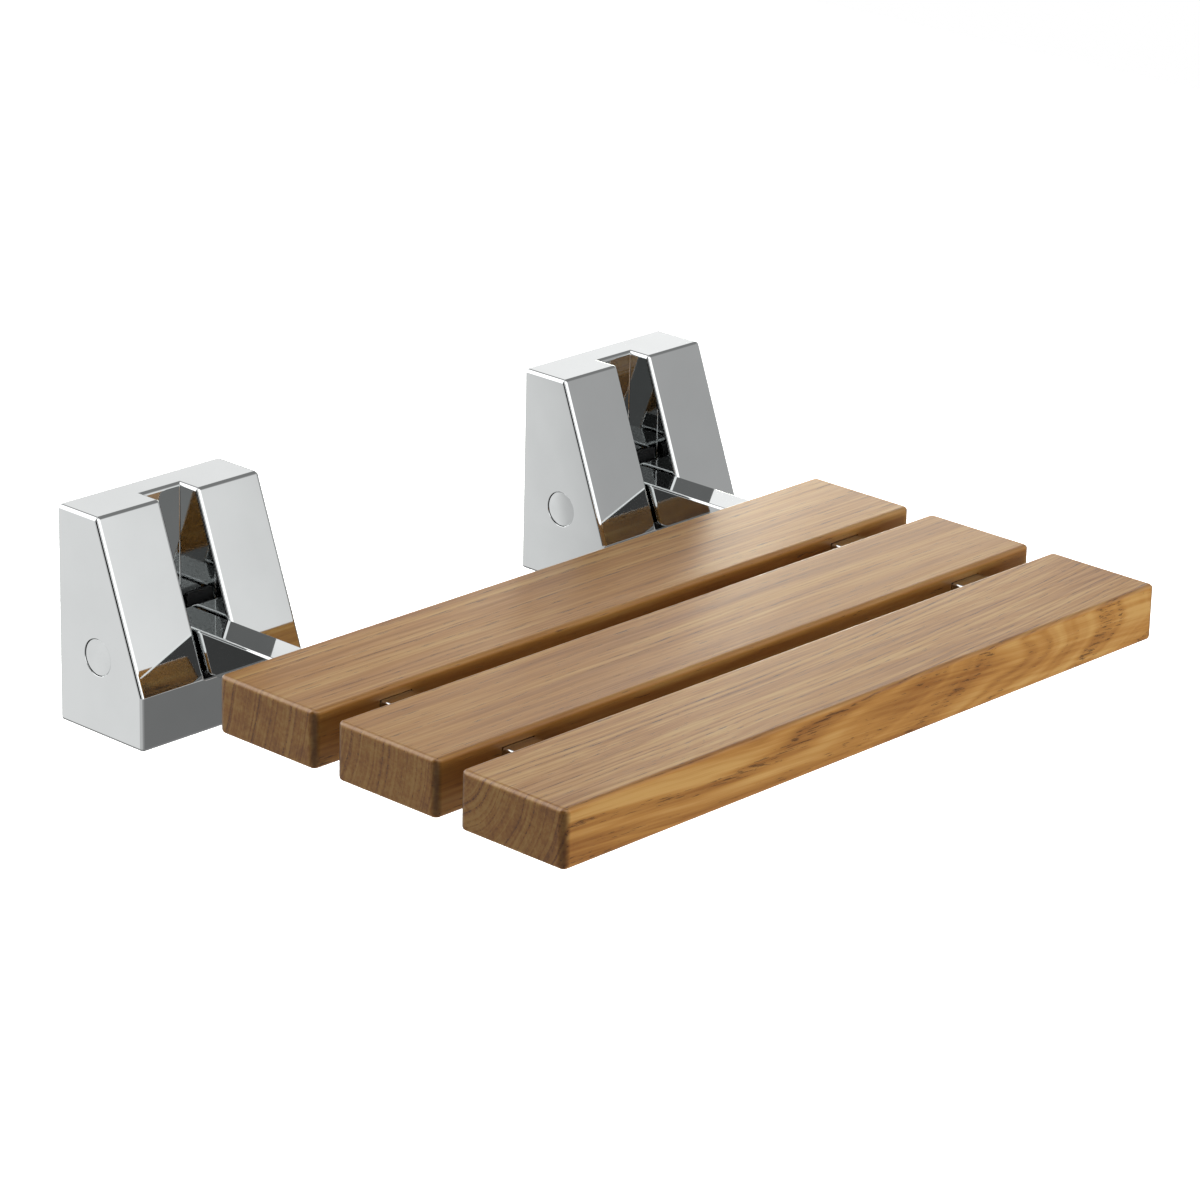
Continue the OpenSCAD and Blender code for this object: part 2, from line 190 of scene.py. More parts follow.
def colour(hexCode):
    # sRGB hex to the linear values that the shader reads
    parts = [int(hexCode[i:i + 2], 16) / 255 for i in (0, 2, 4)]
    return tuple(p / 12.92 if p <= 0.04045 else ((p + 0.055) / 1.055) ** 2.4 for p in parts) + (1,)


def feed(tree, node, inputs):
    # each input takes a value or the socket that drives it
    for key, given in inputs.items():
        if isinstance(given, bpy.types.NodeSocket):
            tree.links.new(given, node.inputs[key])
        else:
            node.inputs[key].default_value = given


def addNode(tree, kind, inputs=None, stops=None, **settings):
    node = tree.nodes.new("ShaderNode" + kind)
    for key, value in settings.items():
        setattr(node, key, value)
    feed(tree, node, inputs or {})
    if stops:
        steps = node.color_ramp.elements
        while len(steps) < len(stops):
            steps.new(0.5)
        for step, (place, tone) in zip(steps, stops):
            step.position = place
            step.color = tone if isinstance(tone, tuple) else (tone, tone, tone, 1)
    return node


def startMaterial(name, values):
    material = bpy.data.materials.new(name)
    material.use_nodes = True
    tree = material.node_tree
    shader = tree.nodes["Principled BSDF"]
    feed(tree, shader, values)
    return material, tree, shader, addNode(tree, "TexCoord")


# Teak: sawn and planed boards under a satin varnish. The eye reads straight fibre along the board
# in soft zones, faint late wood lines, short open pores, browner end grain and a sheen at a low
# angle.
teak = {
    "tones": ("BB9153", "A8773A", "8A5A28"),
    "toneStops": (0.28, 0.5, 0.75),
    "toneShares": {"fibre": 0.6, "zone": 0.9},    # how strongly each pattern tints the wood
    "poreTone": "28180B",
    "poreStops": ((0.96, 0.0), (1.0, 0.7)),
    "poreClump": 0.6,            # how far the pores keep to the late wood
    "ringSpacing": 2.4,          # millimetres between late wood lines
    "ringNoise": {"Scale": 0.9, "Detail": 2.5, "Roughness": 0.6},
    "bend": (170, 50),           # length and width of each pattern along the board, in millimetres
    "zone": (260, 14),
    "fibre": (90, 2.2),          # drawn a little coarser than real
    "pores": (15, 0.8),
    "bendNoise": {"Scale": 1, "Detail": 2},
    "patternNoise": {"Scale": 1, "Detail": 3, "Roughness": 0.6},
    "sweepSpan": (-0.1, 0.254),  # where along the board its log curves away, in metres
    "sweepPower": 1.5,
    "endRings": 0.75,            # how strongly the rings tint end grain
    "endPower": 6.0,             # how soon a face that turns from the end stops being end grain
    "endShade": (0.64, 0.6, 0.52),     # how much of each colour is left on end grain
    "paintedCornerShade": (0.3, 0.27, 0.22),  # painted shade: how much of each colour is left on the upright corners
    "cornerPower": 1.5,
    "specular": 0.26,
    "roughness": (0.34, 0.44),
    "varnish": (0.18, 0.10),     # between the fibres and on them
    "varnishStops": (0.35, 0.65),
    "varnishRoughness": 0.3,
    "endVarnish": 0.3,
    "edgeVarnish": 1.0,          # more where it gathers along the rounded top edges
    "edgeStops": ((0.35, 0.0), (0.6, 1.0), (0.96, 1.0), (0.99, 0.0)),  # by how far a face looks up
    "bumpDepth": 0.08 * mm,
    "bumpStrength": 0.5,
}


def teakBoard(name, heart, turn, start, bow, sweep, rings):
    # heart is the middle of the rings in millimetres from the origin, as (y, z); turn tilts the
    # log, in degrees; start moves the patterns along; bow is how far the fibre wanders; sweep is
    # how far the log curves away at the board's right end; rings is how strongly they tint long
    # grain
    material, tree, shader, place = startMaterial(name, {
        "Coat Roughness": teak["varnishRoughness"], "Specular IOR Level": teak["specular"]})

    grain = addNode(tree, "Mapping", {
        "Vector": place.outputs["Object"], "Location": (start, -heart[0], -heart[1]),
        "Rotation": tuple(math.radians(t) for t in turn), "Scale": (1 / mm,) * 3})
    length, width = teak["bend"]
    bend = addNode(tree, "Mapping", {"Vector": grain.outputs[0],
                                     "Scale": (1 / length, 1 / width, 1 / width)})
    wander = addNode(tree, "TexNoise", {"Vector": bend.outputs[0], **teak["bendNoise"]})
    centred = addNode(tree, "VectorMath", {0: wander.outputs["Color"], 1: (0.5, 0.5, 0.5)},
                      operation="SUBTRACT")
    bent = addNode(tree, "VectorMath", {
        0: centred.outputs[0], 1: (0, bow, bow), 2: grain.outputs[0]}, operation="MULTIPLY_ADD")
    along = addNode(tree, "SeparateXYZ", {0: place.outputs["Object"]})
    sweepStart, sweepEnd = teak["sweepSpan"]
    reach = addNode(tree, "MapRange", {
        0: along.outputs[0], "From Min": sweepStart, "From Max": sweepEnd})
    curve = addNode(tree, "Math", {0: reach.outputs[0], 1: teak["sweepPower"]}, operation="POWER")
    away = addNode(tree, "VectorMath", {
        0: curve.outputs[0], 1: (0, -sweep, 0), 2: bent.outputs[0]}, operation="MULTIPLY_ADD")
    across = addNode(tree, "VectorMath", {0: away.outputs[0], 1: (0, 1, 1)}, operation="MULTIPLY")
    radius = addNode(tree, "VectorMath", {0: across.outputs[0]}, operation="LENGTH")
    count = addNode(tree, "Math", {0: radius.outputs["Value"], 1: 1 / teak["ringSpacing"]},
                    operation="MULTIPLY")
    ring = addNode(tree, "TexNoise", {"W": count.outputs[0], **teak["ringNoise"]},
                   noise_dimensions="1D").outputs[0]

    noise = {}
    for key, source in (("zone", bent), ("fibre", bent), ("pores", away)):
        length, width = teak[key]
        lengthwise = addNode(tree, "Mapping", {"Vector": source.outputs[0],
                                               "Scale": (1 / length, 1 / width, 1 / width)})
        noise[key] = addNode(tree, "TexNoise", {
            "Vector": lengthwise.outputs[0], **teak["patternNoise"]}).outputs[0]

    facing = addNode(tree, "SeparateXYZ", {0: place.outputs["Normal"]})
    endwise = addNode(tree, "Math", {0: facing.outputs[0], 1: teak["endPower"]}, operation="POWER")
    ringShare = addNode(tree, "MapRange", {
        0: endwise.outputs[0], "To Min": rings, "To Max": teak["endRings"]})
    shares = [(ring, ringShare.outputs[0])]
    shares += [(noise[key], share) for key, share in teak["toneShares"].items()]
    tone = 0.5
    for pattern, share in shares:
        centred = addNode(tree, "Math", {0: pattern, 1: 0.5}, operation="SUBTRACT")
        tone = addNode(tree, "Math", {0: centred.outputs[0], 1: share, 2: tone},
                       operation="MULTIPLY_ADD").outputs[0]
    tones = [colour(hexCode) for hexCode in teak["tones"]]
    wood = addNode(tree, "ValToRGB", {0: tone}, stops=list(zip(teak["toneStops"], tones)))
    clumped = addNode(tree, "Math", {0: ring, 1: teak["poreClump"], 2: noise["pores"]},
                      operation="MULTIPLY_ADD")
    porous = addNode(tree, "ValToRGB", {0: clumped.outputs[0]}, stops=teak["poreStops"])
    base = addNode(tree, "Mix", {
        0: porous.outputs[0], 6: wood.outputs[0], 7: colour(teak["poreTone"])}, data_type="RGBA")

    # a face looks along both x and y only where it turns an upright corner; there the wood is
    # darkened as painted shade
    oblique = addNode(tree, "Math", {0: facing.outputs[0], 1: facing.outputs[1]},
                      operation="MULTIPLY")
    eitherWay = addNode(tree, "Math", {0: oblique.outputs[0]}, operation="ABSOLUTE")
    doubled = addNode(tree, "Math", {0: eitherWay.outputs[0], 1: 2.0}, operation="MULTIPLY")
    paintedCornerMask = addNode(tree, "Math", {0: doubled.outputs[0], 1: teak["cornerPower"]},
                       operation="POWER")
    # end grain is darkened as its own tone, and the upright corners as painted shade
    for share, shade in ((endwise, teak["endShade"]), (paintedCornerMask, teak["paintedCornerShade"])):
        base = addNode(tree, "Mix", {0: share.outputs[0], 6: base.outputs[2], 7: shade + (1,)},
                       data_type="RGBA", blend_type="MULTIPLY")

    low, high = teak["roughness"]
    gloss = addNode(tree, "MapRange", {0: noise["fibre"], "To Min": low, "To Max": high})
    (first, last), (between, upon) = teak["varnishStops"], teak["varnish"]
    film = addNode(tree, "MapRange", {0: noise["fibre"], "From Min": first, "From Max": last,
                                      "To Min": between, "To Max": upon})
    soaked = addNode(tree, "MapRange", {
        0: endwise.outputs[0], "To Min": 1, "To Max": teak["endVarnish"]})
    coated = addNode(tree, "Math", {0: film.outputs[0], 1: soaked.outputs[0]},
                     operation="MULTIPLY")
    edge = addNode(tree, "ValToRGB", {0: facing.outputs[2]}, stops=teak["edgeStops"])
    gathered = addNode(tree, "Math", {
        0: edge.outputs[0], 1: teak["edgeVarnish"], 2: coated.outputs[0]},
        operation="MULTIPLY_ADD")
    relief = addNode(tree, "Math", {0: porous.outputs[0], 1: -1.0, 2: noise["fibre"]},
                     operation="MULTIPLY_ADD")
    bump = addNode(tree, "Bump", {"Height": relief.outputs[0], "Strength": teak["bumpStrength"],
                                  "Distance": teak["bumpDepth"]})
    feed(tree, shader, {"Base Color": base.outputs[2], "Roughness": gloss.outputs[0],
                        "Coat Weight": gathered.outputs[0], "Normal": bump.outputs[0]})
    return material


# Metals and plastics. Each is a base finish whose tone, gloss and relief vary by noise at the size
# that its making leaves.
finishes = {
    # decorative chrome plate over a polished zinc casting: mirror, faintly uneven, wiped
    "chrome": {"tones": ("C3C5C5", "C0C2C2"), "metallic": 1, "roughness": (0.02, 0.05),
               "patch": 38, "relief": 0.010 * mm},
    # the same plate on a moulded cap, a little softer
    "chrome_plug": {"tones": ("C3C5C5", "BFC1C1"), "metallic": 1, "roughness": (0.05, 0.09),
                    "patch": 14, "relief": 0.006 * mm},
    # zinc plated steel sheet: blue grey with a fine spangle
    "bracket_steel": {"tones": ("B0B5BA", "A3A9B0"), "metallic": 1, "roughness": (0.32, 0.42),
                      "patch": 6, "relief": 0.008 * mm},
    # ground stainless bar
    "pin_steel": {"tones": ("D0D0CE", "BDBDBB"), "metallic": 1, "roughness": (0.16, 0.28),
                  "patch": 1.5, "relief": 0.004 * mm},
    # stainless fasteners, rolled and tumbled
    "screw_steel": {"tones": ("C6C6C4", "A8A8A6"), "metallic": 1, "roughness": (0.22, 0.38),
                    "patch": 1.2, "relief": 0.006 * mm},
    # sintered bronze: warm brown yellow with oil darkened pores
    "bronze": {"tones": ("B88A4E", "8F6636"), "metallic": 1, "roughness": (0.38, 0.55),
               "patch": 0.6, "relief": 0.02 * mm},
    # moulded EPDM rubber: matt, nearly black, a little dusty
    "rubber": {"tones": ("262627", "1A1A1B"), "metallic": 0, "roughness": (0.72, 0.9),
               "patch": 1.0, "relief": 0.03 * mm},
    # spark eroded polyethylene: black with a fine even texture
    "black_plastic": {"tones": ("242425", "1B1B1D"), "metallic": 0, "roughness": (0.45, 0.6),
                      "patch": 0.8, "relief": 0.02 * mm},
}
# how far into its noise a finish starts and ends the change from its first value to its second
finishSpan = {"tones": (0.35, 0.65), "roughness": (0.3, 0.7)}
finishDetail = 3


def makeFinish(name):
    look = finishes[name]
    material, tree, shader, place = startMaterial(name, {"Metallic": look["metallic"]})
    inMm = addNode(tree, "Mapping", {"Vector": place.outputs["Object"], "Scale": (1 / mm,) * 3})
    noise = addNode(tree, "TexNoise", {
        "Vector": inMm.outputs[0], "Scale": 1 / look["patch"], "Detail": finishDetail})
    tones = [colour(tone) for tone in look["tones"]]
    tint = addNode(tree, "ValToRGB", {0: noise.outputs[0]},
                   stops=list(zip(finishSpan["tones"], tones)))
    (first, last), (low, high) = finishSpan["roughness"], look["roughness"]
    gloss = addNode(tree, "MapRange", {0: noise.outputs[0], "From Min": first, "From Max": last,
                                       "To Min": low, "To Max": high})
    bump = addNode(tree, "Bump", {"Height": noise.outputs[0], "Strength": 1,
                                  "Distance": look["relief"]})
    feed(tree, shader, {"Base Color": tint.outputs[0], "Roughness": gloss.outputs[0],
                        "Normal": bump.outputs[0]})
    return material


finish = {name: makeFinish(name) for name in finishes}
print("materials made")

span = Vector((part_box("right_housing_cover")[0].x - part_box("left_housing_cover")[0].x, 0, 0))


def finishPair(left, name, body, slot, node):
    # the right piece is the left one moved along
    pair = {"left": left, "right": copyAlong(left, "right_" + name, span)}
    for side, piece in pair.items():
        finishPiece(piece, body, slot, finish[slot], side + "_" + node)


# Housing covers: a cast wedge with a slot for the arm, hollow and open to the wall
cover = {
    "topDepth": 33 * mm,         # flat top, measured from the wall
    "lipHeight": 33 * mm,        # upright lip under the slope
    "slotWidth": 28 * mm,
    "slotBack": 18 * mm,         # distance of the slot's back from the wall
    "shell": 3 * mm,
    "pocketWall": 2.5 * mm,
    "edgeRadius": 2.5 * mm,
    "lipRadius": 1.25 * mm,
    "castRadius": 0.6 * mm,      # inside corners of the slot
    "pinHole": 6.3 * mm,
    "plugHole": 11.3 * mm,
    "plugDepth": 3.5 * mm,
    "plugRim": 0.35 * mm,
    "bossWall": 3 * mm,
    "bossDepth": 6 * mm,
    "screwX": 34 * mm,
    "screwY": -14 * mm,
    "screwHole": 2.54 * mm,
    "screwBoss": 6 * mm,
    "screwBossHeight": 5 * mm,
}


def addWedge(name, low, high, topFront, lipTop):
    wedge = addBlock(name, low, high)
    makeActive(wedge)
    bpy.ops.object.mode_set(mode="EDIT")
    bpy.ops.mesh.select_all(action="SELECT")
    bpy.ops.mesh.bisect(plane_co=(0, 0, lipTop), plane_no=(0, 0, 1))
    pick(wedge, "VERT", lambda vert: vert.co.z > high.z - hair and vert.co.y < low.y + hair)
    bpy.ops.transform.translate(value=(0, topFront - low.y, 0))
    bpy.ops.object.mode_set(mode="OBJECT")
    return wedge


def addCover():
    low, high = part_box("left_housing_cover")
    middle = (low.x + high.x) / 2
    lipTop = low.z + cover["lipHeight"]
    halfSlot = cover["slotWidth"] / 2
    shell, wall = cover["shell"], cover["pocketWall"]
    piece = addWedge("left_cover", low, high, -cover["topDepth"], lipTop)
    cut(piece, addBlock("slot", (middle - halfSlot, low.y - over, lipTop),
                        (middle + halfSlot, -cover["slotBack"], high.z + over)))
    cleanUp(piece)

    def outerRadius(edge):
        if not edge.is_convex:
            return cover["castRadius"]
        if all(vert.co.y > -hair for vert in edge.verts):
            return 0
        if all(abs(vert.co.z - lipTop) < hair for vert in edge.verts):
            return cover["lipRadius"]
        return cover["edgeRadius"]

    roundEdges(piece, outerRadius, edgeSteps)

    # the slope moved in by the shell, and where it meets the inside of the lip and of the top
    slope = Vector((0, low.y + cover["topDepth"], lipTop - high.z)).normalized()
    inward = Vector((0, -slope.z, slope.y))
    onSlope = Vector((0, low.y, lipTop)) - inward * shell * (1 if inward.y < 0 else -1)
    innerLip = onSlope + slope * (low.y + shell - onSlope.y) / slope.y
    innerTop = onSlope + slope * (high.z - shell - onSlope.z) / slope.z
    hollow = addWedge("hollow", Vector((low.x + shell, low.y + shell, low.z + shell)),
                      Vector((high.x - shell, over, high.z - shell)), innerTop.y, innerLip.z)
    cut(hollow, addBlock("pocket", (middle - halfSlot - wall, low.y, lipTop - wall),
                         (middle + halfSlot + wall, -cover["slotBack"] + wall, high.z + over)))
    bossHeight, bossDepth = cover["screwBossHeight"], cover["bossDepth"]
    for side in sides.values():
        face = middle + side * (high.x - low.x) / 2
        screwX = middle + side * cover["screwX"]
        cut(hollow, addRod("boss", "X", (face - side * (shell + bossDepth / 2), pivot.y, pivot.z),
                           cover["plugHole"] + cover["bossWall"], bossDepth))
        cut(hollow, addRod("boss", "Z", (screwX, cover["screwY"], low.z + shell + bossHeight / 2),
                           cover["screwBoss"], bossHeight))
    cut(piece, hollow)
    cut(piece, addRod("hole", "X", (middle, pivot.y, pivot.z), cover["pinHole"], high.x - low.x))
    for side in sides.values():
        face = middle + side * (high.x - low.x) / 2
        screwX = middle + side * cover["screwX"]
        cut(piece, addRod("hole", "X", (face, pivot.y, pivot.z), cover["plugHole"],
                          2 * cover["plugDepth"], "large"))
        cut(piece, addRod("hole", "Z", (screwX, cover["screwY"], low.z + shell),
                          cover["screwHole"], 4 * shell + bossHeight, "small"))
    cleanUp(piece)

    def rimRadius(edge):
        onFace = all(min(vert.co.x - low.x, high.x - vert.co.x) < hair for vert in edge.verts)
        fromPivot = [math.hypot(vert.co.y - pivot.y, vert.co.z - pivot.z) for vert in edge.verts]
        onRim = all(abs(distance - cover["plugHole"]) < hair for distance in fromPivot)
        return cover["plugRim"] if onFace and onRim else 0

    roundEdges(piece, rimRadius, rimSteps)
    return piece


finishPair(addCover(), "cover", wallBody, "chrome", "housing_cover")
print("housing covers made")

# Round plugs over the pin ends
plug = {"headRadius": 11 * mm, "headThickness": 3 * mm, "rim": 0.35 * mm, "crown": 0.1 * mm,
        "crownRings": 4, "stemRadius": 3 * mm, "stemLength": 8 * mm}


def addPlugs():
    low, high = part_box("left_pin_plugs")
    radius, rings = plug["headRadius"], plug["crownRings"]
    flat = radius - plug["rim"]
    thickness = plug["headThickness"] - plug["crown"]
    made = []
    for side, face in ((-1, low.x), (1, high.x)):
        inside = face - side * (plug["crown"] + thickness / 2)
        head = addRod("plug", "X", (inside, pivot.y, pivot.z), radius, thickness, "large")
        roundEdges(head, lambda edge: plug["rim"] if edge.calc_face_angle(0) > sharpTurn else 0,
                   rimSteps)
        makeActive(head)
        bpy.ops.object.mode_set(mode="EDIT")
        pick(head, "FACE", lambda part: part.normal.x * side > 0.999)
        for ring in range(rings):
            # each ring stands on a shallow dome over the flat face
            outer, inner = 1 - ring / rings, 1 - (ring + 1) / rings
            rise = plug["crown"] * (outer ** 2 - inner ** 2)
            if ring < rings - 1:
                bpy.ops.mesh.inset(thickness=flat / rings, depth=0)
            else:
                bpy.ops.mesh.poke()
                pick(head, "VERT", lambda vert: (vert.co.yz - pivot.yz).length < hair
                     and vert.co.x * side > inside * side)
            bpy.ops.transform.translate(value=(side * rise, 0, 0))
        pick(head, "FACE", lambda part: part.normal.x * side < -0.999)
        bpy.ops.mesh.inset(thickness=flat - plug["stemRadius"], depth=0)
        bpy.ops.mesh.extrude_region_move(TRANSFORM_OT_translate={
            "value": (-side * plug["stemLength"], 0, 0)})
        bpy.ops.object.mode_set(mode="OBJECT")
        made.append(head)
    bpy.ops.object.select_all(action="DESELECT")
    for head in made:
        head.select_set(True)
    bpy.context.view_layer.objects.active = made[0]
    bpy.ops.object.join()
    made[0].name = "left_plugs"
    cleanUp(made[0])
    return made[0]


finishPair(addPlugs(), "plugs", wallBody, "chrome_plug", "pin_plugs")
print("pin plugs made")

# Arms: chromed square tube, its rear end turned round the pivot
arm = {"edgeRadius": 1.6 * mm, "tubeWall": 2.5 * mm, "hubLength": 34 * mm, "bore": 8.09 * mm}


def addArm():
    low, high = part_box("left_arm")
    middle = (low.x + high.x) / 2
    bar = addRod("left_bar", "X", (middle, pivot.y, pivot.z), (high.z - low.z) / 2,
                 high.x - low.x, "large")

    def frontAt(y):
        # tells the faces that look to the front at y or before it
        return lambda part: part.normal.y < -0.9 and part.calc_center_median().y < y + hair

    makeActive(bar)
    bpy.ops.object.mode_set(mode="EDIT")
    bpy.ops.mesh.select_all(action="SELECT")
    bpy.ops.mesh.bisect(plane_co=(middle, pivot.y, pivot.z), plane_no=(0, -1, 0), use_fill=True,
                        clear_outer=True)
    pick(bar, "FACE", frontAt(pivot.y))
    bpy.ops.mesh.extrude_region_move(TRANSFORM_OT_translate={"value": (0, low.y - pivot.y, 0)})
    bpy.ops.object.mode_set(mode="OBJECT")
    cleanUp(bar)

    def alongSide(edge):
        # the edges of the two side faces, but not those across the open front
        onSide = all(min(vert.co.x - low.x, high.x - vert.co.x) < hair for vert in edge.verts)
        behind = all(vert.co.y > low.y + hair for vert in edge.verts)
        alongBar = abs(edge.verts[0].co.y - edge.verts[1].co.y) > 20 * hair
        sharp = edge.calc_face_angle(0) > sharpTurn
        return arm["edgeRadius"] if onSide and sharp and (behind or alongBar) else 0

    roundEdges(bar, alongSide, edgeSteps)
    makeActive(bar)
    bpy.ops.object.mode_set(mode="EDIT")
    pick(bar, "FACE", frontAt(low.y))
    bpy.ops.mesh.inset(thickness=arm["tubeWall"], depth=0)
    bpy.ops.mesh.extrude_region_move(TRANSFORM_OT_translate={
        "value": (0, pivot.y - arm["hubLength"] - low.y, 0)})
    bpy.ops.object.mode_set(mode="OBJECT")
    cut(bar, addRod("bore", "X", (middle, pivot.y, pivot.z), arm["bore"],
                    high.x - low.x + 2 * over))
    cleanUp(bar)
    return bar


finishPair(addArm(), "bar", seatBody, "chrome", "arm")
print("arms made")

# Slats: each board is rounded, then notched from below for the arms, their plates and screws
slat = {"edgeRadius": 3 * mm, "cornerRadius": 5 * mm, "air": 0.25 * mm, "plateLength": 44 * mm,
        "screwX": 21 * mm, "screwY": 14 * mm, "screwHole": 2.04 * mm, "screwDepth": 20.3 * mm}


def addSlat(name, node):
    low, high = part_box(node)
    air = slat["air"]
    board = addBlock(name, low, high)

    def boardRadius(edge):
        upright = abs(edge.verts[0].co.z - edge.verts[1].co.z) > hair
        return slat["cornerRadius"] if upright else slat["edgeRadius"]

    roundEdges(board, boardRadius, edgeSteps)
    middle = (low.y + high.y) / 2
    reach = slat["plateLength"] / 2
    for side in sides:
        armLow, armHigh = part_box(side + "_arm")
        plateLow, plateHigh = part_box(side + "_slat_plates")
        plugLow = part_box(side + "_arm_end_plug")[0]
        front = max(low.y - over, plugLow.y - air)
        cut(board, addBlock("notch", (armLow.x - air, front, low.z - over),
                            (armHigh.x + air, high.y + over, armHigh.z + air)))
        cut(board, addBlock("seat", (plateLow.x - air, middle - reach - air, low.z - over),
                            (plateHigh.x + air, middle + reach + air, armLow.z)))
        centre = (armLow.x + armHigh.x) / 2
        top = plateLow.z + slat["screwDepth"]
        for turnX in (-1, 1):
            for turnY in (-1, 1):
                place = (centre + turnX * slat["screwX"], middle + turnY * slat["screwY"],
                         (top + plateLow.z) / 2)
                cut(board, addRod("hole", "Z", place, slat["screwHole"], slat["screwDepth"],
                                  "tiny"))
    cleanUp(board)
    return board


boards = {
    "rear_slat": dict(heart=(40, 30), turn=(0, 0, 0.3), start=40, bow=5, sweep=0, rings=0.3),
    "middle_slat": dict(heart=(-130, 10), turn=(0, 0, -0.4), start=430, bow=5, sweep=-4, rings=0.3),
    "front_slat": dict(heart=(-312, 0.5), turn=(0, -2.6, 0.2), start=900, bow=8, sweep=26,
                       rings=0.7),
}
for node, grain in boards.items():
    board = addSlat(node.replace("_slat", "_board"), node)
    finishPiece(board, seatBody, "teak", teakBoard("teak_" + node, **grain), node)
print("slats made")

# The other CAD pieces keep their shape and take the finish of their slot
for obj in nodes.values():
    if obj.hide_render:
        continue
    for slotOf in obj.material_slots:
        slotOf.material = finish[slotOf.material.name.split(".")[0]]
print("carried pieces finished")

# Studio: a pale floor far below, white all round, soft lamps, and cards that only gloss sees
camera = {
    "place": (-1.89663, -1.96094, 0.95377),
    "right": (0.68885632, -0.72451355, 0.0236027),
    "up": (0.23581441, 0.25476005, 0.93781068),
    "lens": 140.889,
    "clip": (0.05, 60),
}
studio = {
    "floorDrop": 0.46,           # metres from the seat down to the floor
    "floorSize": 6,
    "floorTone": "E8E8E6",
    "floorRoughness": 0.9,
    "shadowReach": (0.1, 0.5),   # metres from its middle where the shadow starts to fade, and ends
    "floorLift": (0.4, 1.0),     # the light that the camera sees on the floor there, beside its own
    "plainLevel": 0.08,
    "glossLevel": 1.18,
    # azimuth from the front toward the right and height, in degrees, how soft each edge is, and
    # the light in that card
    "cards": [
        dict(azimuth=(100, 136), height=(8, 24), soft=(14, 8), level=1.4),
        dict(azimuth=(88, 160), height=(-10, 9), soft=(14, 6), level=0.15),
        dict(azimuth=(95, 162), height=(27, 60), soft=(12, 8), level=0.4),
        dict(azimuth=(42.4, 112), height=(-60, 90), soft=(5, 10), level=0.6),
        dict(azimuth=(44, 125), height=(32, 90), soft=(16, 16), level=0.32),
        dict(azimuth=(-190, -118), height=(-4, 60), soft=(8, 12), level=2.6),
        dict(azimuth=(175, 181), height=(-4, 60), soft=(8, 12), level=2.6),
        dict(azimuth=(-60, 300), height=(-90, -10), soft=(160, 12), level=0.26),
        dict(azimuth=(-181, 181), height=(-90, -36), soft=(1, 10), level=0.35),
        dict(azimuth=(-133.4, -60), height=(-45, -8), soft=(3, 8), level=0.8),
        dict(azimuth=(-59, 35), height=(-3, 70), soft=(12, 8), level=2.2),
        dict(azimuth=(-102, -60), height=(-14, 60), soft=(3, 6), level=0.02),
        dict(azimuth=(-50, -37), height=(-8, 22), soft=(4, 6), level=0.12),
        dict(azimuth=(-50, -37), height=(-60, -8), soft=(4, 6), level=0.45),
    ],
}
# place and size in metres, power in watts
lamps = {
    "front": dict(place=(0.5, -2.65, 0.25), size=1.2, power=43),
    "left": dict(place=(-2.5, 0.45, 0.3), size=0.8, power=11),
    "above": dict(place=(-0.6, 0.1, 2.4), size=1.6, power=27),
    "back": dict(place=(1.45, 1.18, 0.5), size=0.45, power=34),
    "rim": dict(place=(0.85, 0.56, 0.17), size=0.24, power=1.15),
    "right_rim": dict(place=(1.12, 0.5, 0.2), size=0.36, power=0.85),
}
# the rim lamps are low behind the right end and give the boards their sheen, so gloss sees them;
# the others light without a reflection of their own
rimLamps = ("rim", "right_rim")
rimTint = (0.98, 1, 0.88)


def addCamera():
    right, up = Vector(camera["right"]), Vector(camera["up"])
    lens = bpy.data.cameras.new("camera")
    lens.lens = camera["lens"]
    lens.clip_start, lens.clip_end = camera["clip"]
    obj = bpy.data.objects.new("camera", lens)
    turn = Matrix((right, up, right.cross(up))).transposed()
    obj.matrix_world = Matrix.Translation(camera["place"]) @ turn.to_4x4()
    bpy.context.scene.collection.objects.link(obj)
    bpy.context.scene.camera = obj


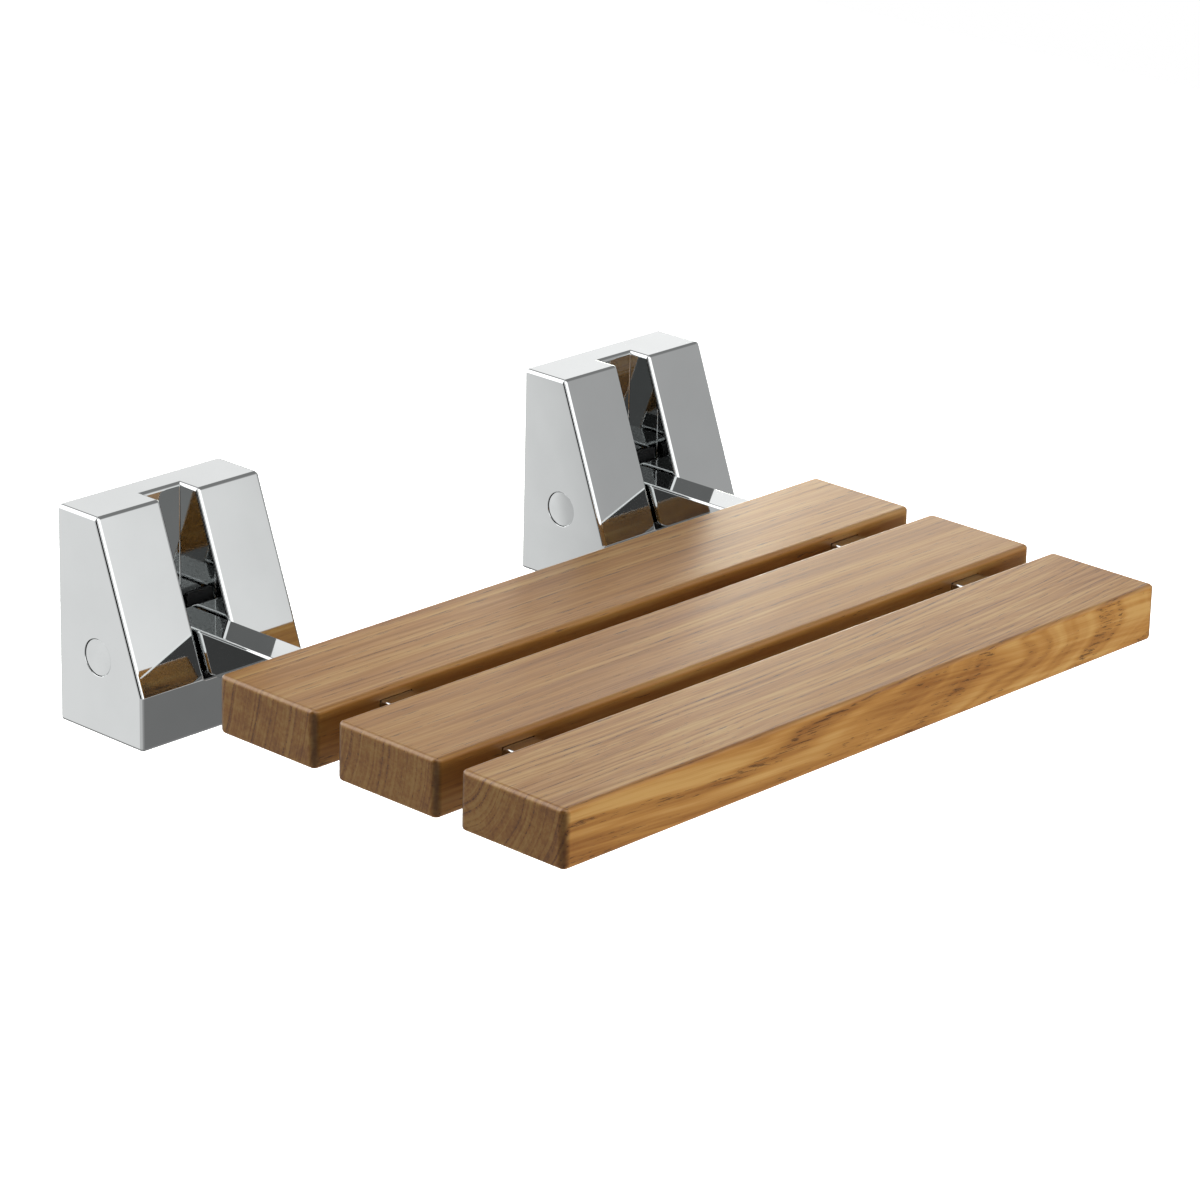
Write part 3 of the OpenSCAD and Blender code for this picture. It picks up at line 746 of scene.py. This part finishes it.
def addWorld():
    world = bpy.data.worlds.new("studio")
    bpy.context.scene.world = world
    world.use_nodes = True
    tree = world.node_tree
    way = addNode(tree, "TexCoord")
    parts = addNode(tree, "SeparateXYZ", {0: way.outputs["Generated"]})
    front = addNode(tree, "Math", {0: parts.outputs["Y"], 1: -1.0}, operation="MULTIPLY")
    azimuth = addNode(tree, "Math", {0: parts.outputs["X"], 1: front.outputs[0]},
                      operation="ARCTAN2")
    height = addNode(tree, "Math", {0: parts.outputs["Z"]}, operation="ARCSINE")
    level = studio["glossLevel"]
    for card in studio["cards"]:
        inside = 1.0
        for angle, edges, soft in ((azimuth, card["azimuth"], card["soft"][0]),
                                   (height, card["height"], card["soft"][1])):
            for edge, sign in zip(edges, (1, -1)):
                rise = addNode(tree, "MapRange", {
                    0: angle.outputs[0], "From Min": math.radians(edge - sign * soft / 2),
                    "From Max": math.radians(edge + sign * soft / 2)},
                    interpolation_type="SMOOTHSTEP")
                inside = addNode(tree, "Math", {0: rise.outputs[0], 1: inside},
                                 operation="MULTIPLY").outputs[0]
        level = addNode(tree, "Mix", {0: inside, 2: level, 3: card["level"]},
                        data_type="FLOAT").outputs[0]
    ray = addNode(tree, "LightPath")
    gloss = addNode(tree, "Mix", {0: ray.outputs["Is Glossy Ray"], 2: studio["plainLevel"],
                                  3: level}, data_type="FLOAT")
    seen = addNode(tree, "Mix", {0: ray.outputs["Is Camera Ray"], 2: gloss.outputs[0], 3: 1.0},
                   data_type="FLOAT")
    feed(tree, tree.nodes["Background"], {"Strength": seen.outputs[0], "Color": (1, 1, 1, 1)})


def addFloor():
    low = cadBounds[0]
    bpy.ops.object.select_all(action="DESELECT")
    bpy.ops.mesh.primitive_plane_add(size=studio["floorSize"],
                                     location=(0, 0, low.z - studio["floorDrop"]))
    floor = bpy.context.object
    floor.name = "floor"
    floor.visible_glossy = False
    material, tree, shader, place = startMaterial("pale_floor", {
        "Base Color": colour(studio["floorTone"]), "Roughness": studio["floorRoughness"]})
    # the camera sees the floor lifted to white paper, which fades in away from the shadow
    ray = addNode(tree, "LightPath")
    away = addNode(tree, "VectorMath", {0: place.outputs["Object"]}, operation="LENGTH")
    (near, far), (dim, full) = studio["shadowReach"], studio["floorLift"]
    lift = addNode(tree, "MapRange", {0: away.outputs["Value"], "From Min": near, "From Max": far,
                                      "To Min": dim, "To Max": full},
                   interpolation_type="SMOOTHSTEP")
    seen = addNode(tree, "Math", {0: lift.outputs[0], 1: ray.outputs["Is Camera Ray"]},
                   operation="MULTIPLY")
    glow = addNode(tree, "Emission", {"Strength": seen.outputs[0]})
    both = addNode(tree, "AddShader", {0: shader.outputs[0], 1: glow.outputs[0]})
    feed(tree, tree.nodes["Material Output"], {"Surface": both.outputs[0]})
    floor.data.materials.append(material)


def addLamps():
    target = (cadBounds[0] + cadBounds[1]) / 2
    for name, look in lamps.items():
        data = bpy.data.lights.new(name, "AREA")
        data.shape = "DISK"
        data.size = look["size"]
        data.energy = look["power"]
        obj = bpy.data.objects.new(name, data)
        obj.location = look["place"]
        obj.rotation_mode = "QUATERNION"
        obj.rotation_quaternion = (target - Vector(look["place"])).to_track_quat("-Z", "Y")
        obj.visible_glossy = name in rimLamps
        if obj.visible_glossy:
            data.color = rimTint
        bpy.context.scene.collection.objects.link(obj)


addCamera()
addWorld()
addFloor()
addLamps()
bpy.context.scene.view_settings.view_transform = "Standard"
print("studio made")
